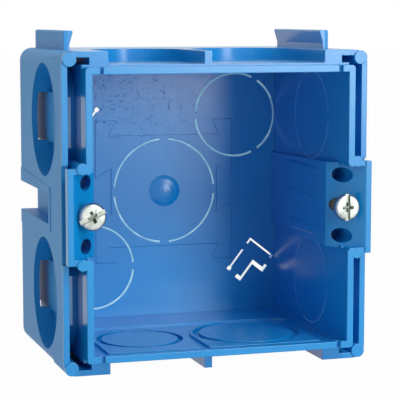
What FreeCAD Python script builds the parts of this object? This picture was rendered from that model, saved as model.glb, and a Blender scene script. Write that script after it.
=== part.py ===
import FreeCAD, Part
import os
import re

import Sketcher

# Flush back box for one wiring device: a moulded housing and the two screws in its side bosses.
# Build frame: X to the right, Y from the front rim to the rear, Z up from mid-height, in millimetres.

os.makedirs("parts", exist_ok=True)
doc = FreeCAD.newDocument("FlushBackBox")

# Every driving size: name, value, meaning.
SIZES = [
    ("box_width", 72, "width over the side plates"),
    ("box_height", 72, "height over the top and bottom plates"),
    ("box_depth", 50, "depth from the front rim to the rear face"),
    ("plate_setback", 3.9, "front edge of the outer plates behind the rim"),
    ("side_plate", 1.35, "thickness of the side plates"),
    ("deck_plate", 1.3, "thickness of the top and bottom plates"),
    ("plate_corner", 3, "rounding of the outer corners"),
    ("rim_width", 63, "width of the inner box outside"),
    ("rim_step", 1.03, "outer edge of the rim above and below the cavity"),
    ("rim_corner", 0.8, "rounding of the rim corners"),
    ("mouth_width", 60, "width of the mouth"),
    ("lip_step", 0.5, "step of the lip over the cavity, above and below"),
    ("lip_depth", 1.6, "depth of the lip behind the rim"),
    ("deck_gap", 1.6, "gap between the inner box and the top and bottom plates"),
    ("cavity_rear", 58.8, "width inside at the back wall"),
    ("deck_wall", 1.5, "thickness of the inner top and bottom walls"),
    ("back_wall", 2, "thickness of the back wall"),
    ("web_in", 27, "inner face of the webs from the middle"),
    ("web_thick", 2.7, "thickness of the webs"),
    ("slit_in", 27.5, "inner face of the rim slits from the middle"),
    ("slit_wide", 0.95, "width of the rim slits"),
    ("slit_deep", 1.2, "depth of the rim slits from the front"),
    ("spout_y", 19.7, "middle of the spout ends behind the rim"),
    ("small_x", 14.35, "middle of the small spouts to the left"),
    ("small_r", 11.05, "radius of the small spouts"),
    ("large_x", 12, "middle of the large spouts to the right"),
    ("large_r", 13.5, "radius of the large spouts"),
    ("collar_thick", 1.7, "thickness of the spout walls"),
    ("pan_half", 28.6, "half width of the sunk floor"),
    ("pan_rear", 34.6, "rear end of the sunk floor"),
    ("pan_corner", 5, "rear corner rounding of the sunk floor"),
    ("pan_deep", 0.5, "depth of the sunk floor"),
    ("pad_front", 5.5, "front end of the spout pads on the floor"),
    ("small_disc", 9, "radius of the small floor disc"),
    ("small_ring", 1.2, "width of the groove round the small disc"),
    ("large_disc", 11.2, "radius of the large floor disc"),
    ("large_ring", 1.6, "width of the groove round the large disc"),
    ("disc_deep", 0.8, "depth of the disc grooves"),
    ("side_y", 23.4, "middle of the side holes behind the rim"),
    ("side_z", 20.1, "middle of the side holes from mid-height"),
    ("side_r", 13, "radius of the side holes"),
    ("backing", 0.95, "thickness of the backing behind the collar windows"),
    ("backing_y", 10.4, "front end of that backing behind the rim"),
    ("side_collar", 1.4, "thickness of the side hole collars"),
    ("window_high", 11.4, "height of the windows in the side collars"),
    ("notch_half", 3.5, "half height of the notch in the side plates"),
    ("ledge_thick", 1, "thickness of the ledges beside the notch"),
    ("notch_y", 18.2, "front end of the notch behind the rim"),
    ("border_front", 5.1, "half height of the notch border in front"),
    ("border_rear", 6.8, "half height of the notch border at the rear"),
    ("border_edge", 1.6, "width of the notch border in front"),
    ("border_tail", 3, "straight end of the notch border at the rear"),
    ("border_rise", 0.15, "rise of the notch border over the plate"),
    ("bracket_half", 10.65, "half height of the side brackets"),
    ("bracket_out", 35.7, "outer face of the bracket strips from the middle"),
    ("strip_thick", 1.3, "thickness of the bracket strips"),
    ("strip_deep", 2.2, "depth of the bracket strips"),
    ("gusset", 1.25, "thickness of the bracket end walls"),
    ("gusset_set", 0.35, "front of the bracket end walls behind the rim"),
    ("end_round", 1, "rounding of the rim ends by the brackets"),
    ("slant_run", 6.3, "run of the slanted face towards the middle"),
    ("slant_deep", 8.15, "depth gained over that run"),
    ("slant_skin", 2.4, "skin behind the slanted face, front to rear"),
    ("plate_relief", 0.9, "plate edge cut back behind the brackets"),
    ("relief_half", 11, "half height of that cut"),
    ("boss_in", 27.8, "inner face of the bosses from the middle"),
    ("boss_out", 32.2, "outer face of the bosses from the middle"),
    ("boss_rear_in", 28.8, "inner face of the bosses at the back wall"),
    ("boss_taper", 9, "start of the taper of the bosses behind the rim"),
    ("boss_front", 10.1, "half height of the bosses in front"),
    ("boss_rear", 9, "half height of the bosses at the rear"),
    ("tie_width", 61, "spacing of the tie holes across"),
    ("tie_height", 14.2, "spacing of the tie holes up and down"),
    ("tie_hole", 3.45, "diameter of the tie holes"),
    ("tie_room", 5.6, "height of the blocks round the tie holes"),
    ("tie_block", 33.3, "outer face of those blocks from the middle"),
    ("tie_end", 15, "rear end of those blocks"),
    ("tie_floor", 1.5, "closed end of the tie holes"),
    ("tie_ridge_end", 32.5, "rear end of the ridges behind the tie holes"),
    ("ridge_half", 1.9, "half height of the ridges on the bosses at their foot"),
    ("ridge_crest", 0.75, "half height of the crests of those ridges"),
    ("ridge_foot", 0.85, "foot of the ridges behind their crests"),
    ("screw_pitch", 60, "spacing of the device screws"),
    ("screw_ridge_end", 34.5, "rear end of the ridges over the screws"),
    ("screw_run_out", 2, "bore left behind the screw tips"),
    ("hook_out", 32.1, "outer face of the hooks from the middle"),
    ("hook_y", 18.55, "front end of the hooks behind the rim"),
    ("hook_high", 4.4, "height of the hooks over the top plate"),
    ("hook_foot", 1.3, "thickness of the hook feet"),
    ("hook_step", 1.2, "height of the hook feet"),
    ("hook_top", 2.1, "width of the hook tops"),
    ("hook_round", 0.5, "rounding of the hook tops outside"),
    ("hook_nose", 0.4, "rounding of the hook tops inside"),
    ("bead_in", 1.75, "middle of the corner beads from the plate faces"),
    ("bead_r", 1.57, "radius of the corner beads"),
    ("bead_proud", 0.4, "front of the corner beads before the plate edge"),
    ("bead_long", 12, "length of the beads"),
    ("mid_bead_x", 32.35, "middle of the side beads from the middle"),
    ("mid_bead_z", 10.6, "middle of the side beads from mid-height"),
    ("mid_bead_r", 1.25, "radius of the side beads"),
    ("centre_ring_r", 13, "middle radius of the centre ring"),
    ("corner_ring_x", 18.65, "middle of the corner rings across"),
    ("corner_ring_set", 12.8, "middle of the corner rings from the floor and the ceiling"),
    ("corner_ring_r", 10.45, "middle radius of the corner rings"),
    ("back_line", 0.5, "width of the back wall ring lines"),
    ("back_ring_deep", 0.4, "depth of the back wall rings inside"),
    ("back_bridge", 5, "half angle of the back ring bridges"),
    ("dome_r", 4.2, "radius of the dome"),
    ("dome_high", 0.9, "height of the dome"),
    ("relief_rise", 0.08, "rise of the panels on the back wall"),
    ("panel_half", 17.8, "half width of the panel on the back wall"),
    ("wide_cut", 12.5, "half width of its wide notches at the edge"),
    ("wide_foot", 14.6, "half width of its wide notches at their inner end"),
    ("wide_in", 14, "inner end of its wide notches from the middle"),
    ("slim_cut", 3.6, "half height of its slim notches at the edge"),
    ("slim_foot", 5.9, "half height of its slim notches at their inner end"),
    ("slim_in", 13.8, "inner end of its slim notches from the middle"),
    ("slot_tilt", 38, "tilt of the back wall slots"),
    ("slot_line", 0.45, "width of the thin slots"),
    ("slot_left", 26.1, "left end of the upper slot"),
    ("slot_right", 34, "right end of the upper slot"),
    ("slot_top", 3.95, "upper edge of the upper slot"),
    ("slot_leg_left", 2.3, "lower end of its left leg"),
    ("slot_leg_right", 2.9, "lower end of its right leg"),
    ("slot_leg", 0.6, "width of the thicker legs"),
    ("stem_top", 0.35, "upper end of the left stem"),
    ("stem_foot", 5.1, "upper edge of its foot below the slot axis"),
    ("foot_high", 1, "height of the slot feet"),
    ("foot_wide", 1.05, "width of the left foot"),
    ("foot_offset", 0.3, "left end of the left foot beside the stem"),
    ("hook_slot_left", 30.2, "left edge of the hooked slot"),
    ("hook_slot_right", 34.3, "right edge of the hooked slot"),
    ("hook_slot_top", 0.15, "upper edge of its bar below the slot axis"),
    ("hook_slot_bar", 1, "height of its bar"),
    ("hook_slot_tip", 0.87, "upper end of its right leg"),
    ("hook_slot_leg", 0.75, "width of its right leg"),
    ("hook_slot_foot", 5.5, "upper edge of its foot below the slot axis"),
    ("hook_slot_toe", 29, "left end of its foot"),
    ("head_dia", 6.2, "diameter of the screw heads"),
    ("head_thick", 1.6, "thickness of the screw heads"),
    ("head_bevel", 0.6, "width of the bevel round the screw heads"),
    ("head_slope", 0.8, "depth of that bevel"),
    ("thread_dia", 3.2, "diameter of the screw threads"),
    ("thread_clear", 0.1, "clearance of the threads in their bores, on the diameter"),
    ("screw_long", 25, "length of the screws"),
    ("screw_tip", 1, "length of the screw tips"),
    ("tip_dia", 2.2, "diameter of the screw tips"),
    ("drive_wide", 1.2, "width of the screw slots"),
    ("drive_deep", 0.9, "depth of the screw slots"),
    ("cross_long", 3.2, "length of the cross arms"),
    ("cross_wide", 0.8, "width of the cross arms"),
    ("cross_deep", 1.3, "depth of the cross"),
    ("left_turn", 66, "turn of the left screw"),
    ("right_turn", 0, "turn of the right screw"),
]
NAMES = {row[0] for row in SIZES}

sheet = doc.addObject("Spreadsheet::Sheet", "Sizes")
for line, (name, value, note) in enumerate(SIZES, start=1):
    sheet.set("A%d" % line, name)
    sheet.set("B%d" % line, str(value))
    sheet.setAlias("B%d" % line, name)
    sheet.set("C%d" % line, note)
doc.recompute()

# Direction of each sketch plane's normal along its own axis.
NORMAL = {"XY_Plane": 1, "XZ_Plane": -1, "YZ_Plane": 1}


def tie(text):
    """Put the sheet's name before each size in an expression."""
    return re.sub(r"[a-z_]+", lambda m: "Sizes." + m.group(0) if m.group(0) in NAMES else m.group(0), text)


def start(text):
    """The present value of an expression, for placing new geometry near its answer."""
    found = sheet.evalExpression(tie(text))
    return float(getattr(found, "Value", found))


def sketch_on(body, name, plane, place="0"):
    """A sketch on one of the body's own planes, set off to a place along the plane's axis."""
    sketch = body.newObject("Sketcher::SketchObject", name)
    support = [f for f in body.Origin.OriginFeatures if f.Role == plane][0]
    sketch.AttachmentSupport = [(support, "")]
    sketch.MapMode = "FlatFace"
    sign = "" if NORMAL[plane] > 0 else "-"
    sketch.setExpression("AttachmentOffset.Base.z", tie("%s(%s)" % (sign, place)))
    sketch.addProperty("App::PropertyString", "PlaneRole")
    sketch.PlaneRole = plane
    return sketch


def fix(sketch, kind, geo, point, text):
    """Tie one coordinate of a point to an expression, measured from the sketch origin."""
    number = sketch.addConstraint(Sketcher.Constraint(kind, -1, 1, geo, point, start(text)))
    sketch.setExpression("Constraints[%d]" % number, tie(text))


def outline(sketch, points, arcs=None):
    """A closed outline through named points; arcs maps an edge to (centre x, centre y, fixed axis, turn)."""
    arcs = arcs or {}
    spots = [FreeCAD.Vector(start(x), start(y), 0) for x, y in points]
    ids = []
    for k, spot in enumerate(spots):
        after = spots[(k + 1) % len(spots)]
        if k not in arcs:
            ids.append((sketch.addGeometry(Part.LineSegment(spot, after), False), 1, 2))
            continue
        cx, cy, axis, turn = arcs[k]
        centre = FreeCAD.Vector(start(cx), start(cy), 0)
        circle = Part.Circle(centre, FreeCAD.Vector(0, 0, 1), (spot - centre).Length)
        first, last = (spot, after) if turn > 0 else (after, spot)
        arc = Part.ArcOfCircle(circle, circle.parameter(first), circle.parameter(last))
        geo = sketch.addGeometry(arc, False)
        ids.append((geo, 1, 2) if turn > 0 else (geo, 2, 1))
    for k, (geo, first, last) in enumerate(ids):
        nxt = ids[(k + 1) % len(ids)]
        sketch.addConstraint(Sketcher.Constraint("Coincident", geo, last, nxt[0], nxt[1]))
        fix(sketch, "DistanceX", geo, first, points[k][0])
        fix(sketch, "DistanceY", geo, first, points[k][1])
        if k in arcs:
            cx, cy, axis, turn = arcs[k]
            fix(sketch, "Distance" + axis, geo, 3, cx if axis == "X" else cy)


def circle(sketch, x, y, radius):
    """A circle with its middle and radius tied to expressions."""
    middle = FreeCAD.Vector(start(x), start(y), 0)
    geo = sketch.addGeometry(Part.Circle(middle, FreeCAD.Vector(0, 0, 1), start(radius)), False)
    fix(sketch, "DistanceX", geo, 3, x)
    fix(sketch, "DistanceY", geo, 3, y)
    number = sketch.addConstraint(Sketcher.Constraint("Radius", geo, start(radius)))
    sketch.setExpression("Constraints[%d]" % number, tie(radius))


def box_outline(sketch, left, right, low, high):
    """A rectangle between four named edges."""
    outline(sketch, [(left, low), (right, low), (right, high), (left, high)])


def round_outline(sketch, half_x, half_y, r):
    """A rectangle about the sketch origin with its four corners rounded."""
    a, b = "(%s)" % half_x, "(%s)" % half_y
    ix, iy = "(%s - %s)" % (a, r), "(%s - %s)" % (b, r)
    points = [("-" + ix, "-" + b), (ix, "-" + b), (a, "-" + iy), (a, iy),
              (ix, b), ("-" + ix, b), ("-" + a, iy), ("-" + a, "-" + iy)]
    arcs = {1: (ix, "-" + iy, "X", 1), 3: (ix, iy, "X", 1),
            5: ("-" + ix, iy, "X", 1), 7: ("-" + ix, "-" + iy, "X", 1)}
    outline(sketch, points, arcs)


def u_outline(sketch, x, r, front, end):
    """A U open to the front, with a half-round end about (x, end)."""
    left, right = "(%s) - (%s)" % (x, r), "(%s) + (%s)" % (x, r)
    outline(sketch, [(left, front), (right, front), (right, end), (left, end)], {2: (x, end, "Y", 1)})


def sector_outline(sketch, x, y, r, wide, first, last):
    """A strip of a ring between two angles, in degrees."""
    inner, outer = "(%s - %s / 2)" % (r, wide), "(%s + %s / 2)" % (r, wide)
    points = []
    for radius, angle in ((outer, first), (outer, last), (inner, last), (inner, first)):
        points.append(("(%s) + %s * cos(%s)" % (x, radius, angle),
                       "(%s) + %s * sin(%s)" % (y, radius, angle)))
    middle = (start(first) + start(last)) / 2 % 180
    axis = "Y" if 45 < middle < 135 else "X"
    outline(sketch, points, {0: (x, y, axis, 1), 2: (x, y, axis, -1)})


def shape_of(feature, grows, before):
    """Recompute, and make sure the feature added or took away material as it should."""
    doc.recompute()
    after = feature.Shape.Volume
    if after <= before if grows else after >= before:
        raise RuntimeError("%s did not change the solid: %.3f to %.3f" % (feature.Name, before, after))
    return feature


def extrude(body, kind, name, sketch, length, toward):
    """Pad or pocket a sketch over a named length, toward + or - of the plane's axis."""
    doc.recompute()
    before = body.Shape.Volume if body.Tip is not None else 0.0
    feature = body.newObject("PartDesign::" + kind, name)
    feature.Profile = sketch
    feature.setExpression("Length", tie(length))
    along = toward == NORMAL[sketch.PlaneRole]
    feature.Reversed = (not along) if kind == "Pad" else along
    return shape_of(feature, kind == "Pad", before)


def revolve(body, kind, name, sketch):
    """Turn a sketch once round its own vertical axis."""
    doc.recompute()
    before = body.Shape.Volume if body.Tip is not None else 0.0
    feature = body.newObject("PartDesign::" + kind, name)
    feature.Profile = sketch
    feature.ReferenceAxis = (sketch, ["V_Axis"])
    feature.Angle = 360
    return shape_of(feature, kind == "Revolution", before)


SIDES = ("", "-")


def signed(sign, text):
    """An expression with its sign in front."""
    return "%s(%s)" % (sign, text)


def pair(sign, low, high):
    """Two edges on one side of the middle, in rising order."""
    return (low, high) if sign == "" else (signed("-", high), signed("-", low))


shell = doc.addObject("PartDesign::Body", "OuterShell")
core = doc.addObject("PartDesign::Body", "InnerBox")

PLATE_X = "(box_width / 2 - side_plate)"
PLATE_Z = "(box_height / 2 - deck_plate)"
DECK_Z = "(box_height / 2 - deck_plate - deck_gap)"
CAVITY_Z = "(box_height / 2 - deck_plate - deck_gap - deck_wall)"
RIM_Z = "(%s + rim_step)" % CAVITY_Z
MOUTH_Z = "(%s - lip_step)" % CAVITY_Z
WEB_OUT = "(web_in + web_thick)"
WALL_X = "(rim_width / 2)"

# Outer plates: a block behind the setback, with channels that leave the webs standing.
flat = sketch_on(shell, "OuterPlan", "XZ_Plane", "plate_setback")
round_outline(flat, "box_width / 2", "box_height / 2", "plate_corner")
extrude(shell, "Pad", "OuterBlock", flat, "box_depth - plate_setback", 1)
flat = sketch_on(shell, "ChannelPlan", "XZ_Plane", "plate_setback")
for sign in SIDES:
    corners = [(WEB_OUT, DECK_Z), (WEB_OUT, PLATE_Z), (PLATE_X, PLATE_Z), (PLATE_X, "-" + PLATE_Z),
               (WEB_OUT, "-" + PLATE_Z), (WEB_OUT, "-" + DECK_Z), (WALL_X, "-" + DECK_Z), (WALL_X, DECK_Z)]
    outline(flat, [(signed(sign, x), z) for x, z in corners])
for sign in SIDES:
    low, high = pair(sign, DECK_Z, PLATE_Z)
    box_outline(flat, "-web_in", "web_in", low, high)
extrude(shell, "Pocket", "Channels", flat, "box_depth - plate_setback", 1)

# Spout walls across the top and bottom channels, and the room that the inner box takes up.
SPOUTS = (("Small", "-small_x", "small_r"), ("Large", "large_x", "large_r"))
for name, x, r in SPOUTS:
    flat = sketch_on(shell, name + "SpoutPlan", "XY_Plane", "-box_height / 2")
    u_outline(flat, x, r + " + collar_thick", "plate_setback", "spout_y")
    extrude(shell, "Pad", name + "Spouts", flat, "box_height", 1)
flat = sketch_on(shell, "RoomPlan", "XZ_Plane", "plate_setback")
box_outline(flat, "-" + WALL_X, WALL_X, "-" + DECK_Z, DECK_Z)
extrude(shell, "Pocket", "Room", flat, "box_depth - plate_setback", 1)

# U-shaped mouths of the spouts, open to the front.
for sign, side, toward in (("", "Top", -1), ("-", "Bottom", 1)):
    flat = sketch_on(shell, side + "MouthPlan", "XY_Plane", signed(sign, "box_height / 2"))
    for name, x, r in SPOUTS:
        u_outline(flat, x, r, "0", "spout_y")
    extrude(shell, "Pocket", side + "Mouths", flat, "box_height / 2 - " + DECK_Z, toward)

# Side plates: collars, holes, collar windows, the raised border, and the notch with its ledges.
HANDS = (("", "Right", 1), ("-", "Left", -1))
REACH = "(side_r + side_collar + 0.5)"
for sign, side, toward in HANDS:
    flat = sketch_on(shell, side + "CollarPlan", "YZ_Plane", signed(sign, WALL_X))
    for up in SIDES:
        circle(flat, "side_y", signed(up, "side_z"), "side_r + side_collar")
    extrude(shell, "Pad", side + "Collars", flat, PLATE_X + " - " + WALL_X, toward)
    flat = sketch_on(shell, side + "HolePlan", "YZ_Plane", signed(sign, WALL_X))
    for up in SIDES:
        circle(flat, "side_y", signed(up, "side_z"), "side_r")
    extrude(shell, "Pocket", side + "Holes", flat, "box_width / 2 - " + WALL_X, toward)
    flat = sketch_on(shell, side + "WindowPlan", "YZ_Plane", signed(sign, WALL_X))
    for up in SIDES:
        low, high = pair(up, "side_z - window_high / 2", "side_z + window_high / 2")
        box_outline(flat, "side_y - " + REACH, "side_y + " + REACH, low, high)
    extrude(shell, "Pocket", side + "Windows", flat, PLATE_X + " - " + WALL_X, toward)
    flat = sketch_on(shell, side + "BorderPlan", "YZ_Plane", signed(sign, "box_width / 2"))
    rim = [("notch_y - border_edge", "border_front"), ("notch_y", "border_front"),
           ("box_depth - border_tail", "border_rear"), ("box_depth", "border_rear")]
    outline(flat, [(y, "-" + z) for y, z in rim] + rim[::-1])
    extrude(shell, "Pad", side + "Border", flat, "border_rise", toward)
    flat = sketch_on(shell, side + "LedgePlan", "YZ_Plane", signed(sign, "boss_out - 0.3"))
    for up in SIDES:
        low, high = pair(up, "notch_half", "notch_half + ledge_thick")
        box_outline(flat, "notch_y", "box_depth", low, high)
    extrude(shell, "Pad", side + "Ledges", flat, PLATE_X + " - boss_out + 0.3", toward)
    flat = sketch_on(shell, side + "NotchPlan", "YZ_Plane", signed(sign, PLATE_X))
    box_outline(flat, "notch_y", "box_depth", "-notch_half", "notch_half")
    box_outline(flat, "plate_setback", "plate_setback + plate_relief", "-relief_half", "relief_half")
    extrude(shell, "Pocket", side + "Notch", flat, "side_plate + border_rise", toward)

# Hooks along the top plate, and round beads in the corners of the plates.
TOP = "(box_height / 2 + hook_high)"
FOOT = "(box_height / 2 - deck_plate / 2)"
NOSE = "hook_out - hook_top"
flat = sketch_on(shell, "HookPlan", "XZ_Plane", "hook_y")
for sign, turn in (("", 1), ("-", -1)):
    points = [("hook_out - hook_foot", FOOT), ("hook_out", FOOT), ("hook_out", TOP + " - hook_round"),
              ("hook_out - hook_round", TOP), (NOSE + " + hook_nose", TOP), (NOSE, TOP + " - hook_nose"),
              ("hook_out - hook_foot", "box_height / 2 + hook_step")]
    arcs = {2: (signed(sign, "hook_out - hook_round"), TOP + " - hook_round", "X", turn),
            4: (signed(sign, NOSE + " + hook_nose"), TOP + " - hook_nose", "X", turn)}
    outline(flat, [(signed(sign, x), z) for x, z in points], arcs)
extrude(shell, "Pad", "Hooks", flat, "box_depth - hook_y", 1)
flat = sketch_on(shell, "BeadPlan", "XZ_Plane", "plate_setback - bead_proud")
for sign in SIDES:
    for up in SIDES:
        x, z = signed(sign, "box_width / 2 - bead_in"), signed(up, "box_height / 2 - bead_in")
        circle(flat, x, z, "bead_r")
extrude(shell, "Pad", "CornerBeads", flat, "bead_long + bead_proud", 1)

# Inner box: its rim, its body with the backing of the windows, and the brackets, solid for now.
STRIP_IN = "(bracket_out - strip_thick)"
SLOPE = "(slant_deep / slant_run)"
flat = sketch_on(core, "RimPlan", "XZ_Plane")
round_outline(flat, WALL_X, RIM_Z, "rim_corner")
extrude(core, "Pad", "RimBlock", flat, "plate_setback", 1)
flat = sketch_on(core, "CorePlan", "XZ_Plane", "plate_setback")
box_outline(flat, "-" + WALL_X, WALL_X, "-" + DECK_Z, DECK_Z)
extrude(core, "Pad", "CoreBlock", flat, "box_depth - plate_setback", 1)
for sign, side, toward in HANDS:
    flat = sketch_on(core, side + "BackingPlan", "YZ_Plane", signed(sign, WALL_X))
    for up in SIDES:
        low, high = pair(up, "side_z - window_high / 2 - 0.2", "side_z + window_high / 2 + 0.2")
        box_outline(flat, "backing_y", "box_depth", low, high)
    extrude(core, "Pad", side + "Backing", flat, "backing", toward)
flat = sketch_on(core, "BracketPlan", "XY_Plane", "-bracket_half")
for sign in SIDES:
    near = "(rim_width / 2 - 0.5)"
    corners = [(near, "0"), ("bracket_out", "0"), ("bracket_out", "strip_deep"), (STRIP_IN, "slant_skin"),
               (near, "slant_skin + (%s - %s) * %s" % (STRIP_IN, near, SLOPE))]
    outline(flat, [(signed(sign, x), y) for x, y in corners])
extrude(core, "Pad", "Brackets", flat, "2 * bracket_half", 1)

# Hollow of the inner box: the mouth inside the lip and the tapering cavity behind it.
BACK_IN = "(box_depth - back_wall)"
flat = sketch_on(core, "MouthPlan", "XZ_Plane")
box_outline(flat, "-mouth_width / 2", "mouth_width / 2", "-" + MOUTH_Z, MOUTH_Z)
extrude(core, "Pocket", "Mouth", flat, "lip_depth", 1)
flat = sketch_on(core, "CavityPlan", "XY_Plane", "-" + CAVITY_Z)
outline(flat, [("-mouth_width / 2", "lip_depth"), ("mouth_width / 2", "lip_depth"),
               ("cavity_rear / 2", BACK_IN), ("-cavity_rear / 2", BACK_IN)])
extrude(core, "Pocket", "Cavity", flat, "2 * " + CAVITY_Z, 1)

# Bosses along both sides of the cavity, tapering to the rear, and the ridges that stand out of them.
for sign, side, toward in HANDS:
    flat = sketch_on(core, side + "BossPlan", "YZ_Plane", signed(sign, "boss_in"))
    outline(flat, [("lip_depth", "-boss_front"), ("box_depth - back_wall / 2", "-boss_rear"),
                   ("box_depth - back_wall / 2", "boss_rear"), ("lip_depth", "boss_front")])
    extrude(core, "Pad", side + "Boss", flat, "boss_out - boss_in", toward)
    flat = sketch_on(core, side + "TieBlockPlan", "YZ_Plane", signed(sign, WALL_X + " - 0.2"))
    for up in SIDES:
        low, high = pair(up, "(tie_height - tie_room) / 2", "(tie_height + tie_room) / 2")
        box_outline(flat, "strip_deep", "tie_end", low, high)
    extrude(core, "Pad", side + "TieBlocks", flat, "tie_block - %s + 0.2" % WALL_X, toward)
flat = sketch_on(core, "TaperPlan", "XY_Plane", "-boss_front")
for sign in SIDES:
    corners = [("boss_in - 0.3", "boss_taper"), ("boss_in", "boss_taper"), ("boss_rear_in", BACK_IN),
               ("boss_in - 0.3", BACK_IN)]
    outline(flat, [(signed(sign, x), y) for x, y in corners])
extrude(core, "Pocket", "BossTaper", flat, "2 * boss_front", 1)
CREST = "(boss_in + 0.02)"
RIDGES = (("Tie", ("tie_height / 2", "-tie_height / 2"), "tie_ridge_end"),
          ("Screw", ("0",), "screw_ridge_end"))
for name, spots, end in RIDGES:
    flat = sketch_on(core, name + "RidgePlan", "XZ_Plane", "boss_taper")
    for sign in SIDES:
        for z in spots:
            corners = [("boss_in + ridge_foot", z + " - ridge_half"), (CREST, z + " - ridge_crest"),
                       (CREST, z + " + ridge_crest"), ("boss_in + ridge_foot", z + " + ridge_half")]
            outline(flat, [(signed(sign, x), y) for x, y in corners])
    extrude(core, "Pad", name + "Ridges", flat, end + " - boss_taper", 1)

# Slanted faces: the hollow between the bracket end walls, and the full height inside the cavity.
EDGE = "(boss_in - 1.7)"
flat = sketch_on(core, "SlantPlan", "XY_Plane", "-(bracket_half - gusset)")
for sign in SIDES:
    corners = [(STRIP_IN, "0"), (EDGE, "(%s - %s) * %s" % (STRIP_IN, EDGE, SLOPE)), (EDGE, "0")]
    outline(flat, [(signed(sign, x), y) for x, y in corners])
extrude(core, "Pocket", "SlantHollows", flat, "2 * (bracket_half - gusset)", 1)
flat = sketch_on(core, "SlantEndPlan", "XY_Plane", "-bracket_half")
for sign in SIDES:
    corners = [("mouth_width / 2", "0"),
               ("mouth_width / 2", "(%s - mouth_width / 2) * %s" % (STRIP_IN, SLOPE)),
               (EDGE, "(%s - %s) * %s" % (STRIP_IN, EDGE, SLOPE)), (EDGE, "0")]
    outline(flat, [(signed(sign, x), y) for x, y in corners])
extrude(core, "Pocket", "SlantEnds", flat, "2 * bracket_half", 1)

# Tie holes, screw bores, slits in the rim, the brackets' end walls, and the beads beside them.
flat = sketch_on(core, "TieHolePlan", "XZ_Plane")
for sign in SIDES:
    for up in SIDES:
        circle(flat, signed(sign, "tie_width / 2"), signed(up, "tie_height / 2"), "tie_hole / 2")
extrude(core, "Pocket", "TieHoles", flat, "tie_end - tie_floor", 1)
flat = sketch_on(core, "BorePlan", "XZ_Plane")
for sign in SIDES:
    circle(flat, signed(sign, "screw_pitch / 2"), "0", "(thread_dia + thread_clear) / 2")
extrude(core, "Pocket", "ScrewBores", flat, "screw_long + screw_run_out", 1)
flat = sketch_on(core, "SlitPlan", "XZ_Plane")
for sign in SIDES:
    left, right = pair(sign, "slit_in", "slit_in + slit_wide")
    for up in SIDES:
        low, high = pair(up, MOUTH_Z + " - 0.5", DECK_Z)
        box_outline(flat, left, right, low, high)
extrude(core, "Pocket", "Slits", flat, "slit_deep", 1)
flat = sketch_on(core, "GussetPlan", "XZ_Plane")
for sign in SIDES:
    left, right = pair(sign, WALL_X, STRIP_IN)
    for up in SIDES:
        low, high = pair(up, "bracket_half - gusset", "bracket_half")
        box_outline(flat, left, right, low, high)
extrude(core, "Pocket", "GussetFaces", flat, "gusset_set", 1)
flat = sketch_on(core, "RimEndPlan", "XZ_Plane")
RIM_IN = "mouth_width / 2"
RIM_END = "bracket_half - gusset"
for sign in SIDES:
    for up in SIDES:
        corners = [(RIM_IN, RIM_END), (RIM_IN + " + end_round", RIM_END), (RIM_IN, RIM_END + " + end_round")]
        turn = -1 if sign == up else 1
        middle = (signed(sign, RIM_IN + " + end_round"), signed(up, RIM_END + " + end_round"), "X", turn)
        outline(flat, [(signed(sign, x), signed(up, z)) for x, z in corners], {1: middle})
extrude(core, "Pocket", "RimEnds", flat, "plate_setback", 1)
flat = sketch_on(core, "MidBeadPlan", "XZ_Plane")
for sign in SIDES:
    for up in SIDES:
        circle(flat, signed(sign, "mid_bead_x"), signed(up, "mid_bead_z"), "mid_bead_r")
extrude(core, "Pad", "MidBeads", flat, "bead_long", 1)

# A panel standing a hair's breadth proud of the back wall, notched on all sides, and the dome on it.
flat = sketch_on(core, "PanelPlan", "XZ_Plane", BACK_IN)
quarter = [("panel_half", "slim_cut"), ("panel_half", "panel_half"), ("wide_cut", "panel_half"),
           ("wide_foot", "wide_in")]
quarter = [("slim_in", "slim_foot")] + quarter
edge = quarter + [(signed("-", x), z) for x, z in quarter[::-1]]
outline(flat, edge + [(signed("-", x), signed("-", z)) for x, z in edge])
extrude(core, "Pad", "Panel", flat, "relief_rise", -1)
flat = sketch_on(core, "DomePlan", "XY_Plane")
steps = (("0", "1"), ("0.35", "0.88"), ("0.7", "0.5"), ("1", "0"))
curve = [("dome_r * " + x, BACK_IN + " - dome_high * " + y) for x, y in steps]
outline(flat, curve + [("dome_r", BACK_IN + " + back_wall / 4"), ("0", BACK_IN + " + back_wall / 4")])
revolve(core, "Revolution", "Dome", flat)

# Sunk floor round the spout pads, and the grooves round the discs in the floor and the ceiling.
flat = sketch_on(core, "FloorPanPlan", "XY_Plane", "-" + CAVITY_Z)
near = "(pan_half - pan_corner)"
far = "pan_rear - pan_corner"
outline(flat, [("-pan_half", "lip_depth"), ("pan_half", "lip_depth"), ("pan_half", far), (near, "pan_rear"),
               ("-" + near, "pan_rear"), ("-pan_half", far)],
        {2: (near, far, "X", 1), 4: ("-" + near, far, "X", 1)})
for name, x, r in SPOUTS:
    u_outline(flat, x, r, "pad_front", "spout_y")
extrude(core, "Pocket", "FloorPan", flat, "pan_deep", -1)
for sign, side, toward in (("", "Ceiling", 1), ("-", "Floor", -1)):
    flat = sketch_on(core, side + "DiscPlan", "XY_Plane", signed(sign, CAVITY_Z))
    circle(flat, "-small_x", "spout_y", "small_disc")
    circle(flat, "-small_x", "spout_y", "small_disc + small_ring")
    circle(flat, "large_x", "spout_y", "large_disc")
    circle(flat, "large_x", "spout_y", "large_disc + large_ring")
    extrude(core, "Pocket", side + "Discs", flat, "disc_deep", toward)

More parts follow.
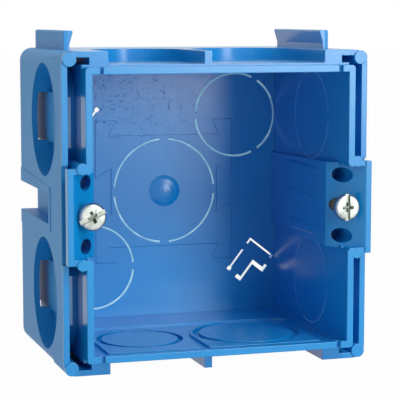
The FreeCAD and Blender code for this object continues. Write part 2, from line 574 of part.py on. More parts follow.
# Rings in the back wall: one round the middle and two in opposite corners.
RING_Z = CAVITY_Z + " - corner_ring_set"
flat = sketch_on(core, "BackRingPlan", "XZ_Plane", BACK_IN + " - relief_rise")
for quarter in (0, 90, 180, 270):
    sector_outline(flat, "0", "0", "centre_ring_r", "back_line", "%d + back_bridge" % quarter,
                   "%d - back_bridge" % (quarter + 90))
for sign, turn in (("", 0), ("-", 180)):
    for third in (60, 180, 300):
        sector_outline(flat, signed(sign, "corner_ring_x"), signed(sign, RING_Z), "corner_ring_r",
                       "back_line", "%d + back_bridge" % (third + turn),
                       "%d - back_bridge" % (third + turn + 120))
extrude(core, "Pocket", "BackRings", flat, "back_ring_deep + relief_rise", 1)

# Slots through the back wall, alike after half a turn, drawn in their own tilted frame.
flat = sketch_on(core, "BackSlotPlan", "XZ_Plane", BACK_IN)
flat.AttachmentOffset = FreeCAD.Placement(flat.AttachmentOffset.Base,
                                          FreeCAD.Rotation(FreeCAD.Vector(0, 0, -1), start("slot_tilt")))
flat.setExpression("AttachmentOffset.Rotation.Angle", tie("slot_tilt * 1 deg"))
STEM = "slot_left + slot_line"
FOOT_LEFT = "slot_left - foot_offset"
FOOT_RIGHT = "slot_left - foot_offset + foot_wide"
LEG = "slot_right - slot_leg"
POST = "hook_slot_left + slot_leg"
BAR = "-hook_slot_top - hook_slot_bar"
TIP = "hook_slot_right - hook_slot_leg"
SLOTS = (
    (("slot_left", "slot_leg_left"), (STEM, "slot_leg_left"), (STEM, "slot_top - slot_line"),
     (LEG, "slot_top - slot_line"), (LEG, "slot_leg_right"), ("slot_right", "slot_leg_right"),
     ("slot_right", "slot_top"), ("slot_left", "slot_top")),
    (("slot_left", "stem_top"), ("slot_left", "-stem_foot"), (FOOT_LEFT, "-stem_foot"),
     (FOOT_LEFT, "-stem_foot - foot_high"), (FOOT_RIGHT, "-stem_foot - foot_high"),
     (FOOT_RIGHT, "-stem_foot"), (STEM, "-stem_foot"), (STEM, "stem_top")),
    (("hook_slot_left", "-hook_slot_top"), ("hook_slot_left", "-hook_slot_foot"),
     ("hook_slot_toe", "-hook_slot_foot"), ("hook_slot_toe", "-hook_slot_foot - foot_high"),
     (POST, "-hook_slot_foot - foot_high"), (POST, BAR), ("hook_slot_right", BAR),
     ("hook_slot_right", "hook_slot_tip"), (TIP, "hook_slot_tip"), (TIP, "-hook_slot_top")),
)
for sign in SIDES:
    for corners in SLOTS:
        outline(flat, [(signed(sign, x), signed(sign, z)) for x, z in corners])
extrude(core, "Pocket", "BackSlots", flat, "back_wall", 1)

# One moulding of both, standing on its bottom plate with the origin under the middle of its depth.
for body in (shell, core):
    body.setExpression("Placement.Base.y", tie("-box_depth / 2"))
    body.setExpression("Placement.Base.z", tie("box_height / 2"))
box = doc.addObject("Part::MultiFuse", "box")
box.Label = "box"
box.Shapes = [shell, core]


def make_screw(name, side, turn):
    """One screw with its head flush with the rim, its slot turned by a named angle."""
    body = doc.addObject("PartDesign::Body", name)
    flat = sketch_on(body, name + "Profile", "XY_Plane")
    head, thread = "head_dia / 2", "thread_dia / 2"
    outline(flat, [("0", "0"), (head + " - head_bevel", "0"), (head, "head_slope"), (head, "head_thick"),
                   (thread, "head_thick"), (thread, "screw_long - screw_tip"), ("tip_dia / 2", "screw_long"),
                   ("0", "screw_long")])
    revolve(body, "Revolution", name + "Turned", flat)
    flat = sketch_on(body, name + "SlotPlan", "XZ_Plane")
    far = "(head_dia / 2 - head_bevel - 0.2)"
    box_outline(flat, "-drive_wide / 2", "drive_wide / 2", "-" + far, far)
    extrude(body, "Pocket", name + "Slot", flat, "drive_deep", 1)
    flat = sketch_on(body, name + "CrossPlan", "XZ_Plane")
    arm, half = "cross_long / 2", "cross_wide / 2"
    outline(flat, [("-" + half, "-" + arm), (half, "-" + arm), (half, "-" + half), (arm, "-" + half),
                   (arm, half), (half, half), (half, arm), ("-" + half, arm), ("-" + half, half),
                   ("-" + arm, half), ("-" + arm, "-" + half), ("-" + half, "-" + half)])
    extrude(body, "Pocket", name + "Cross", flat, "cross_deep", 1)
    turned = FreeCAD.Rotation(FreeCAD.Vector(0, 1, 0), start(turn))
    body.Placement = FreeCAD.Placement(FreeCAD.Vector(), turned)
    body.setExpression("Placement.Base.x", tie(side + "screw_pitch / 2"))
    body.setExpression("Placement.Base.y", tie("-box_depth / 2"))
    body.setExpression("Placement.Base.z", tie("box_height / 2"))
    body.setExpression("Placement.Rotation.Angle", tie(turn + " * 1 deg"))
    return body


screws = doc.addObject("Part::Compound", "fixing_screws")
screws.Label = "fixing_screws"
screws.Links = [make_screw("LeftScrew", "-", "left_turn"), make_screw("RightScrew", "", "right_turn")]
doc.recompute()

for item in doc.Objects:
    if "Invalid" in item.State or "Error" in item.State:
        raise RuntimeError("%s is in state %s" % (item.Name, item.State))
for part in (box, screws):
    if part.Shape.isNull() or not part.Shape.isValid():
        raise RuntimeError("%s has no valid shape" % part.Label)
    part.Shape.exportStep("parts/%s.step" % part.Label)
    bounds = part.Shape.BoundBox
    print("%s: %d solids, %.1f mm3, X %.2f to %.2f, Y %.2f to %.2f, Z %.2f to %.2f" % (
        part.Label, len(part.Shape.Solids), part.Shape.Volume, bounds.XMin, bounds.XMax,
        bounds.YMin, bounds.YMax, bounds.ZMin, bounds.ZMax))
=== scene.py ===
import logging
import math
from dataclasses import dataclass, field
from enum import Enum

import bmesh
import bpy
from mathutils import Matrix, Vector


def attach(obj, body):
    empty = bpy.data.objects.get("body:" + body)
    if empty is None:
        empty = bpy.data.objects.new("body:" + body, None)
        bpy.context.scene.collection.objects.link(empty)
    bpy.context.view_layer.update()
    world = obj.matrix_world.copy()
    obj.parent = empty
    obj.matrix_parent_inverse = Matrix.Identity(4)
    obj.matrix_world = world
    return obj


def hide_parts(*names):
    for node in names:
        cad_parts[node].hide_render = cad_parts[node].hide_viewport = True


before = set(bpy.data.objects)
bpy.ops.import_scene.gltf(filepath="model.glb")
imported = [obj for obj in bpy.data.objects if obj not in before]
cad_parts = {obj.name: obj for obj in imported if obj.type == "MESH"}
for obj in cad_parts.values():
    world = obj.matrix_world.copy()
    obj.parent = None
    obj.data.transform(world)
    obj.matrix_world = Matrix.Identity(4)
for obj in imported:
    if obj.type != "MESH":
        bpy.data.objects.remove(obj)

# Looks of the flush back box: glossy blue moulding, pale knockout membranes and bright zinc screws.
# The pieces are laid out in millimetres from the front rim and mid-height, and turned into the row frame.
# The finishes read places of the row frame, in metres.

LOG = logging.getLogger("flush_back_box")
MM = 0.001
HALF_DEPTH = 25.0
HALF_HEIGHT = 36.0

Colour = tuple[float, float, float, float]
Point = tuple[float, float, float]
Span = tuple[float, float]

WHITE: Colour = (1.0, 1.0, 1.0, 1.0)


class Slot(Enum):
    """Material slots that the record names."""

    PLASTIC = "blue_plastic"
    ZINC = "zinc_steel"


class Wall(Enum):
    """Cavity walls that carry knockout rings."""

    BACK = "back"
    LEFT = "left"
    RIGHT = "right"


@dataclass(frozen=True)
class Pattern:
    """A noise pattern: its scale per metre and its octaves of detail."""

    scale: float
    detail: float


@dataclass(frozen=True)
class Relief:
    """A fine relief in a surface: its pattern, strength and height in metres."""

    pattern: Pattern
    strength: float
    height: float


def row(x: float, y: float, z: float) -> Vector:
    """Turn a point of the box into the row frame.

    Args:
        x: Millimetres to the right of the middle.
        y: Millimetres behind the front rim.
        z: Millimetres above mid-height.

    Returns:
        The point in metres.
    """
    return Vector((x, y - HALF_DEPTH, z + HALF_HEIGHT)) * MM


class NodeBench:
    """Lays out the nodes of one material or world."""

    def __init__(self, tree: bpy.types.NodeTree) -> None:
        """Clear the tree and keep it."""
        self.tree = tree
        tree.nodes.clear()

    def add(self, kind: str, **settings: object) -> bpy.types.Node:
        """Add a node and set its own properties.

        Args:
            kind: Blender's name of the node type.
            **settings: Properties of the node.

        Returns:
            The new node.
        """
        node = self.tree.nodes.new(kind)
        for name, value in settings.items():
            setattr(node, name, value)
        return node

    def put(self, node: bpy.types.Node, **values: object) -> bpy.types.Node:
        """Set input sockets by name, an underscore standing for a space.

        Args:
            node: The node whose sockets are set.
            **values: Socket values.

        Returns:
            The same node.
        """
        for name, value in values.items():
            node.inputs[name.replace("_", " ")].default_value = value
        return node

    def link(self, source: bpy.types.NodeSocket, target: bpy.types.NodeSocket) -> None:
        """Join an output to an input."""
        self.tree.links.new(source, target)

    def place(self) -> bpy.types.NodeSocket:
        """Give the place on the piece, in the row frame."""
        return self.add("ShaderNodeTexCoord").outputs["Object"]

    def normal(self) -> bpy.types.NodeSocket:
        """Give the surface's own normal."""
        return self.add("ShaderNodeNewGeometry").outputs["Normal"]

    def axes(self, value: bpy.types.NodeSocket) -> bpy.types.NodeOutputs:
        """Split a place or a normal along the axes.

        Args:
            value: The place or normal.

        Returns:
            Outputs named X, Y and Z.
        """
        node = self.add("ShaderNodeSeparateXYZ")
        self.link(value, node.inputs[0])
        return node.outputs

    def flat(self, across: bpy.types.NodeSocket, up: bpy.types.NodeSocket) -> bpy.types.NodeSocket:
        """Join two values into a place on a plane.

        Args:
            across: Place along the plane's first axis.
            up: Place along its second axis.

        Returns:
            The place's output.
        """
        node = self.add("ShaderNodeCombineXYZ")
        self.link(across, node.inputs["X"])
        self.link(up, node.inputs["Y"])
        return node.outputs[0]

    def noise(self, where: bpy.types.NodeSocket, pattern: Pattern) -> bpy.types.NodeSocket:
        """Read a noise pattern at a place.

        Args:
            where: Coordinate output.
            pattern: The pattern.

        Returns:
            The noise, between 0 and 1.
        """
        node = self.put(self.add("ShaderNodeTexNoise"), Scale=pattern.scale, Detail=pattern.detail)
        self.link(where, node.inputs["Vector"])
        return node.outputs["Fac"]

    def bump(self, where: bpy.types.NodeSocket, relief: Relief) -> bpy.types.Node:
        """Raise a fine relief on a surface.

        Args:
            where: Coordinate output.
            relief: The relief.

        Returns:
            The bump node.
        """
        node = self.put(self.add("ShaderNodeBump"), Strength=relief.strength, Distance=relief.height)
        self.link(self.noise(where, relief.pattern), node.inputs["Height"])
        return node

    def ramp(self, value: bpy.types.NodeSocket, stops: list[tuple[float, Colour]]) -> bpy.types.NodeSocket:
        """Lay colours along a value.

        Args:
            value: Value between 0 and 1.
            stops: Positions and colours, in rising order.

        Returns:
            The colour's output.
        """
        node = self.add("ShaderNodeValToRGB")
        elements = node.color_ramp.elements
        while len(elements) < len(stops):
            elements.new(0.5)
        for element, (position, colour) in zip(elements, stops):
            element.position = position
            element.color = colour
        self.link(value, node.inputs["Fac"])
        return node.outputs["Color"]

    def mix(self, share: bpy.types.NodeSocket, first: bpy.types.NodeSocket,
            second: Colour) -> bpy.types.NodeSocket:
        """Blend a colour over another.

        Args:
            share: Share of the second colour.
            first: Output of the first colour.
            second: Second colour.

        Returns:
            The blended colour's output.
        """
        node = self.add("ShaderNodeMixRGB", blend_type="MIX")
        node.inputs["Color2"].default_value = second
        self.link(share, node.inputs["Fac"])
        self.link(first, node.inputs["Color1"])
        return node.outputs["Color"]

    def span(self, value: bpy.types.NodeSocket, low: bpy.types.NodeSocket | float, high: float,
             first: float = 0.0, last: float = 1.0) -> bpy.types.NodeSocket:
        """Map a value from one range to another, and hold it at the ends.

        Args:
            value: The value.
            low: Result at the first value, an output or a number.
            high: Result at the last value.
            first: First value of the range mapped from.
            last: Last value of the range mapped from.

        Returns:
            The result's output.
        """
        node = self.put(self.add("ShaderNodeMapRange"), From_Min=first, From_Max=last, To_Max=high)
        if isinstance(low, float):
            self.put(node, To_Min=low)
        else:
            self.link(low, node.inputs["To Min"])
        self.link(value, node.inputs["Value"])
        return node.outputs["Result"]

    def sum(self, operation: str, first: bpy.types.NodeSocket,
            second: bpy.types.NodeSocket | float) -> bpy.types.NodeSocket:
        """Work out one step of arithmetic.

        Args:
            operation: Blender's name of the operation.
            first: First value.
            second: Second value, an output or a number.

        Returns:
            The result's output.
        """
        node = self.add("ShaderNodeMath", operation=operation)
        self.link(first, node.inputs[0])
        if isinstance(second, float):
            node.inputs[1].default_value = second
        else:
            self.link(second, node.inputs[1])
        return node.outputs[0]

    def size(self, value: bpy.types.NodeSocket) -> bpy.types.NodeSocket:
        """Drop a value's sign.

        Args:
            value: The value.

        Returns:
            The result's output.
        """
        node = self.add("ShaderNodeMath", operation="ABSOLUTE")
        self.link(value, node.inputs[0])
        return node.outputs[0]

    def seen(self) -> bpy.types.NodeSocket:
        """Tell the rays that show a surface, straight, mirrored or through glass, from those that light it.

        Returns:
            An output that is 1 for the rays that show it and 0 for the others.
        """
        path = self.add("ShaderNodeLightPath").outputs
        plain = self.sum("MAXIMUM", path["Is Camera Ray"], path["Is Glossy Ray"])
        return self.sum("MAXIMUM", plain, path["Is Transmission Ray"])

    def show(self, shader: bpy.types.NodeSocket) -> None:
        """Send a shader to the material's surface."""
        self.link(shader, self.add("ShaderNodeOutputMaterial").inputs["Surface"])


def blank(name: str) -> tuple[bpy.types.Material, NodeBench]:
    """Start a material.

    Args:
        name: Name of the material.

    Returns:
        The material and the bench for its nodes.
    """
    material = bpy.data.materials.new(name)
    material.use_nodes = True
    return material, NodeBench(material.node_tree)


@dataclass(frozen=True)
class MouldedPlastic:
    """Glossy blue moulding: a little uneven in shade and sheen, with softly broken edges, dust specks and
    painted shade at small steps on the back wall, and painted light with a painted glow on the walls of its
    slots.
    """

    name: str = "blue_moulding"
    deep: Colour = (0.0030, 0.264, 0.640, 1.0)
    mid: Colour = (0.0045, 0.287, 0.684, 1.0)
    pale: Colour = (0.0080, 0.312, 0.725, 1.0)
    # Colour of the dust specks, also used for the painted shade at small steps.
    dust_and_shade_colour: Colour = (0.0015, 0.165, 0.480, 1.0)
    # Painted light on the slot walls, also the colour of their painted glow.
    slit_light: Colour = (0.700, 0.740, 0.740, 1.0)
    tones: tuple[float, float, float] = (0.30, 0.52, 0.74)
    flow: Pattern = Pattern(34.0, 3.0)
    haze: Pattern = Pattern(150.0, 4.0)
    grain: Relief = Relief(Pattern(2600.0, 2.0), 0.035, 0.05 * MM)
    gloss: Span = (0.20, 0.29)
    matt: float = 0.50
    shine: Span = (0.50, 0.04)
    # Strength of the painted glow on the slot walls.
    painted_glow: float = 0.42
    refraction: float = 1.54
    edge: float = 0.22 * MM
    edge_samples: int = 6
    channel_x: float = 31.3 * MM
    channel_y: float = -20.5 * MM
    back_y: float = 22.4 * MM
    half_turned: float = 0.5
    speck_rise: Span = (41.0 * MM, 56.0 * MM)
    speck_fade: Span = (2.0 * MM, 18.0 * MM)
    speck_cells: float = 1550.0
    speck_size: float = 0.44
    slit_y: float = 23.03 * MM
    slit_reach: Span = (28.5 * MM, 29.5 * MM)
    # Painted shade at small steps: where it starts and ends, and its strength.
    step_turn: Span = (0.03, 0.35)
    step_shade: float = 0.75

    def channel_share(self, bench: NodeBench, place: bpy.types.NodeSocket) -> bpy.types.NodeSocket:
        """Tell the narrow side channels, which came out of the mould matt, from the rest.

        Args:
            bench: The material's nodes.
            place: Coordinate output, in the row frame.

        Returns:
            An output that is 1 in the channels and 0 elsewhere.
        """
        axes = bench.axes(place)
        beyond = bench.sum("GREATER_THAN", bench.size(axes["X"]), self.channel_x)
        behind = bench.sum("GREATER_THAN", axes["Y"], self.channel_y)
        return bench.sum("MULTIPLY", beyond, behind)

    def back_share(self, bench: NodeBench, place: bpy.types.NodeSocket) -> bpy.types.NodeSocket:
        """Find the inner face of the back wall.

        Args:
            bench: The material's nodes.
            place: Coordinate output, in the row frame.

        Returns:
            An output that is 1 on that face and 0 elsewhere.
        """
        behind = bench.sum("GREATER_THAN", bench.axes(place)["Y"], self.back_y)
        ahead = bench.sum("LESS_THAN", bench.axes(bench.normal())["Y"], -self.half_turned)
        return bench.sum("MULTIPLY", behind, ahead)

    def speck_share(self, bench: NodeBench, place: bpy.types.NodeSocket) -> bpy.types.NodeSocket:
        """Scatter fine dark specks towards the upper left.

        Args:
            bench: The material's nodes.
            place: Coordinate output, in the row frame.

        Returns:
            An output that is 1 in a speck and 0 elsewhere.
        """
        axes = bench.axes(place)
        high = bench.span(axes["Z"], 0.0, 1.0, *self.speck_rise)
        left = bench.span(axes["X"], 1.0, 0.0, *self.speck_fade)
        region = bench.sum("MULTIPLY", high, left)
        cells = bench.put(bench.add("ShaderNodeTexVoronoi", voronoi_dimensions="2D"), Scale=self.speck_cells)
        bench.link(bench.flat(axes["X"], axes["Z"]), cells.inputs["Vector"])
        chance = bench.add("ShaderNodeSeparateColor")
        bench.link(cells.outputs["Color"], chance.inputs[0])
        share = bench.sum("MULTIPLY", chance.outputs[0], chance.outputs[1])
        radius = bench.sum("MULTIPLY", share, self.speck_size)
        inside = bench.sum("LESS_THAN", cells.outputs["Distance"], radius)
        return bench.sum("MULTIPLY", inside, region)

    def slit_light_share(self, bench: NodeBench, place: bpy.types.NodeSocket) -> bpy.types.NodeSocket:
        """Find the walls of the slots through the back wall, which get painted light and a painted glow.

        Args:
            bench: The material's nodes.
            place: Coordinate output, in the row frame.

        Returns:
            An output that is 1 on those walls and 0 elsewhere.
        """
        axes = bench.axes(place)
        behind = bench.sum("GREATER_THAN", axes["Y"], self.slit_y)
        narrow = bench.sum("LESS_THAN", bench.size(axes["X"]), self.slit_reach[0])
        level = bench.sum("SUBTRACT", axes["Z"], HALF_HEIGHT * MM)
        low = bench.sum("LESS_THAN", bench.size(level), self.slit_reach[1])
        aside = bench.size(bench.axes(bench.normal())["Y"])
        upright = bench.sum("LESS_THAN", aside, self.half_turned)
        inside = bench.sum("MULTIPLY", narrow, low)
        return bench.sum("MULTIPLY", bench.sum("MULTIPLY", behind, inside), upright)

    def step_shade_share(self, bench: NodeBench, soft: bpy.types.NodeSocket) -> bpy.types.NodeSocket:
        """Find small steps, where shade is painted.

        Args:
            bench: The material's nodes.
            soft: Normals of the surface with broken edges.

        Returns:
            An output that rises along a step and is 0 elsewhere.
        """
        turned = bench.add("ShaderNodeVectorMath", operation="DISTANCE")
        bench.link(soft, turned.inputs[0])
        bench.link(bench.normal(), turned.inputs[1])
        return bench.span(turned.outputs["Value"], 0.0, self.step_shade, *self.step_turn)

    def build(self) -> bpy.types.Material:
        """Make the material.

        Returns:
            The material, ready for a slot.
        """
        material, bench = blank(self.name)
        place = bench.place()
        tones = list(zip(self.tones, (self.deep, self.mid, self.pale)))
        shade = bench.ramp(bench.noise(place, self.flow), tones)
        edge = bench.put(bench.add("ShaderNodeBevel", samples=self.edge_samples), Radius=self.edge)
        soft = edge.outputs["Normal"]
        bump = bench.bump(place, self.grain)
        bench.link(soft, bump.inputs["Normal"])
        # Dust specks and painted shade at small steps darken the back wall's inner face.
        marked = bench.sum("MAXIMUM", self.speck_share(bench, place), self.step_shade_share(bench, soft))
        dust_and_shade = bench.sum("MULTIPLY", marked, self.back_share(bench, place))
        dusty_and_shaded = bench.mix(dust_and_shade, shade, self.dust_and_shade_colour)
        # The slot walls get painted light in their colour.
        walls = self.slit_light_share(bench, place)
        tint = bench.mix(walls, dusty_and_shaded, self.slit_light)
        sheen = bench.span(bench.noise(place, self.haze), *self.gloss)
        rough = bench.span(self.channel_share(bench, place), sheen, self.matt)
        shader = bench.put(bench.add("ShaderNodeBsdfPrincipled"), IOR=self.refraction)
        bench.link(tint, shader.inputs["Base Color"])
        bench.link(rough, shader.inputs["Roughness"])
        bench.link(bench.span(dust_and_shade, *self.shine), shader.inputs["Specular IOR Level"])
        # Painted glow on the slot walls.
        bench.put(shader, Emission_Color=self.slit_light)
        bench.link(bench.span(walls, 0.0, self.painted_glow), shader.inputs["Emission Strength"])
        bench.link(bump.outputs["Normal"], shader.inputs["Normal"])
        bench.show(shader.outputs["BSDF"])
        return material


@dataclass(frozen=True)
class ThinMembrane:
    """The moulding where it is so thin that daylight pales it, shown with painted light: pale colours and a
    painted glow.
    """

    name: str = "pale_membrane"
    # Painted light: pale colours for daylight through the thin moulding, and the colour of a painted glow.
    thick: Colour = (0.16, 0.50, 0.74, 1.0)
    thin: Colour = (0.46, 0.80, 0.90, 1.0)
    glow: Colour = (0.40, 0.84, 1.00, 1.0)
    painted_glow: float = 0.11
    patches: Pattern = Pattern(260.0, 3.0)
    tones: Span = (0.36, 0.62)
    gloss: Span = (0.30, 0.45)
    refraction: float = 1.50

    def build(self) -> bpy.types.Material:
        """Make the material.

        Returns:
            The material, ready for a slot.
        """
        material, bench = blank(self.name)
        patches = bench.noise(bench.place(), self.patches)
        shade = bench.ramp(patches, list(zip(self.tones, (self.thick, self.thin))))
        shader = bench.put(bench.add("ShaderNodeBsdfPrincipled"), IOR=self.refraction)
        bench.put(shader, Emission_Color=self.glow, Emission_Strength=self.painted_glow)
        bench.link(shade, shader.inputs["Base Color"])
        bench.link(bench.span(patches, *self.gloss), shader.inputs["Roughness"])
        bench.show(shader.outputs["BSDF"])
        return material


@dataclass(frozen=True)
class ZincPlate:
    """Bright zinc on steel, cloudy and finely scratched, rougher and darkened with painted shade in the
    recess and on the thread.
    """

    name: str = "bright_zinc"
    dull: Colour = (0.28, 0.31, 0.29, 1.0)
    bright: Colour = (0.56, 0.60, 0.57, 1.0)
    tones: Span = (0.30, 0.62)
    # Painted shade: colour by depth behind the heads' faces, darker into the recess and along the thread.
    recess_shade: tuple[tuple[float, Colour], ...] = (
        (0.00, (1.00, 1.00, 1.00, 1.0)),
        (0.10, (0.96, 0.96, 0.95, 1.0)),
        (0.25, (0.82, 0.84, 0.78, 1.0)),
        (0.42, (0.62, 0.68, 0.60, 1.0)),
        (1.00, (0.26, 0.26, 0.24, 1.0)),
    )
    reach: float = 3.0 * MM
    # Painted reflection of the blue box on the rounded sides of the heads.
    side: Colour = (0.26, 0.34, 0.44, 1.0)
    side_turn: Span = (-0.97, -0.80)
    axis: Span = (30.0 * MM, 36.0 * MM)
    rim: Span = (2.42 * MM, 2.72 * MM)
    cloud: Pattern = Pattern(420.0, 5.0)
    scratches: Relief = Relief(Pattern(3800.0, 3.0), 0.06, 0.03 * MM)
    gloss: Span = (0.22, 0.40)
    deep_matt: float = 0.5

    def reflection_share(self, bench: NodeBench, axes: bpy.types.NodeOutputs) -> bpy.types.NodeSocket:
        """Find the rounded sides of the heads, which get a painted reflection of the blue box around them.

        Args:
            bench: The material's nodes.
            axes: The place's coordinates in the row frame.

        Returns:
            An output that is 1 on the sides and 0 elsewhere.
        """
        across = bench.sum("SUBTRACT", bench.size(axes["X"]), self.axis[0])
        up = bench.sum("SUBTRACT", axes["Z"], self.axis[1])
        radius = bench.add("ShaderNodeVectorMath", operation="LENGTH")
        bench.link(bench.flat(across, up), radius.inputs[0])
        outside = bench.span(radius.outputs["Value"], 0.0, 1.0, *self.rim)
        turned = bench.span(bench.axes(bench.normal())["Y"], 0.0, 1.0, *self.side_turn)
        return bench.sum("MULTIPLY", outside, turned)

    def build(self) -> bpy.types.Material:
        """Make the material.

        Returns:
            The material, ready for a slot.
        """
        material, bench = blank(self.name)
        place = bench.place()
        axes = bench.axes(place)
        cloud = bench.noise(place, self.cloud)
        shade = bench.ramp(cloud, list(zip(self.tones, (self.dull, self.bright))))
        # Painted shade, darker with depth behind the heads' faces.
        front = -HALF_DEPTH * MM
        depth = bench.span(axes["Y"], 0.0, 1.0, front, front + self.reach)
        tone = bench.put(bench.add("ShaderNodeMixRGB", blend_type="MULTIPLY"), Fac=1.0)
        bench.link(shade, tone.inputs["Color1"])
        bench.link(bench.ramp(depth, list(self.recess_shade)), tone.inputs["Color2"])
        # Painted reflection on the sides of the heads.
        tint = bench.mix(self.reflection_share(bench, axes), tone.outputs["Color"], self.side)
        sheen = bench.span(cloud, *self.gloss)
        rough = bench.sum("ADD", sheen, bench.sum("MULTIPLY", depth, self.deep_matt))
        shader = bench.put(bench.add("ShaderNodeBsdfPrincipled"), Metallic=1.0)
        bench.link(tint, shader.inputs["Base Color"])
        bench.link(rough, shader.inputs["Roughness"])
        bench.link(bench.bump(place, self.scratches).outputs["Normal"], shader.inputs["Normal"])
        bench.show(shader.outputs["BSDF"])
        return material


@dataclass(frozen=True)
class PaperFloor:
    """White paper that the camera sees as white, with the shadow left faintly on it."""

    name: str = "white_paper"
    paper: Colour = (0.86, 0.86, 0.86, 1.0)
    clean: float = 0.98

    def build(self) -> bpy.types.Material:
        """Make the material.

        Returns:
            The material, ready for a slot.
        """
        material, bench = blank(self.name)
        matt = bench.put(bench.add("ShaderNodeBsdfDiffuse"), Color=self.paper)
        glow = bench.put(bench.add("ShaderNodeEmission"), Color=WHITE, Strength=1.0)
        mix = bench.add("ShaderNodeMixShader")
        bench.link(bench.sum("MULTIPLY", bench.seen(), self.clean), mix.inputs[0])
        bench.link(matt.outputs[0], mix.inputs[1])
        bench.link(glow.outputs[0], mix.inputs[2])
        bench.show(mix.outputs[0])
        return material


def to_mesh(work: bmesh.types.BMesh, name: str, outward: bool = True) -> bpy.types.Mesh:
    """Turn worked geometry into a mesh and free it.

    Args:
        work: The geometry.
        name: Name of the mesh.
        outward: Whether its faces are first turned outward.

    Returns:
        The new mesh.
    """
    if outward:
        bmesh.ops.recalc_face_normals(work, faces=work.faces)
    mesh = bpy.data.meshes.new(name)
    work.to_mesh(mesh)
    work.free()
    return mesh


def smooth(mesh: bpy.types.Mesh, sharp: float) -> None:
    """Shade a mesh smooth, apart from its sharp edges.

    Args:
        mesh: The mesh.
        sharp: Angle between faces from which an edge stays sharp, in degrees.
    """
    for face in mesh.polygons:
        face.use_smooth = True
    mesh.set_sharp_from_angle(angle=math.radians(sharp))


def put_in_scene(name: str, data: bpy.types.ID) -> bpy.types.Object:
    """Link a new object to the scene.

    Args:
        name: Name of the object.
        data: Its mesh, lamp or camera.

    Returns:
        The new object.
    """
    item = bpy.data.objects.new(name, data)
    bpy.context.scene.collection.objects.link(item)
    return item


def new_piece(name: str, mesh: bpy.types.Mesh, finish: bpy.types.Material) -> bpy.types.Object:
    """Link a mesh as a piece of the box and give it its finish.

    Args:
        name: Name of the piece.
        mesh: Its mesh, in the row frame.
        finish: Its material.

    Returns:
        The new object, riding on the root body.
    """
    piece = put_in_scene(name, mesh)
    mesh.materials.append(finish)
    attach(piece, "root")
    return piece


@dataclass
class Housing:
    """The moulded box itself, dressed where it stands."""

    node: str = "box"
    sharp: float = 32.0

    def dress(self, finish: bpy.types.Material) -> bpy.types.Object:
        """Give the moulding its finish and smooth its round faces.

        Args:
            finish: The plastic.

        Returns:
            The dressed node.
        """
        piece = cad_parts[self.node]
        piece.data.materials.clear()
        piece.data.materials.append(finish)
        smooth(piece.data, self.sharp)
        return piece


@dataclass(frozen=True)
class RingArc:
    """One stretch of thin membrane between two bridges of a knockout ring."""

    wall: Wall
    across: float
    up: float
    radius: float
    first: float
    last: float


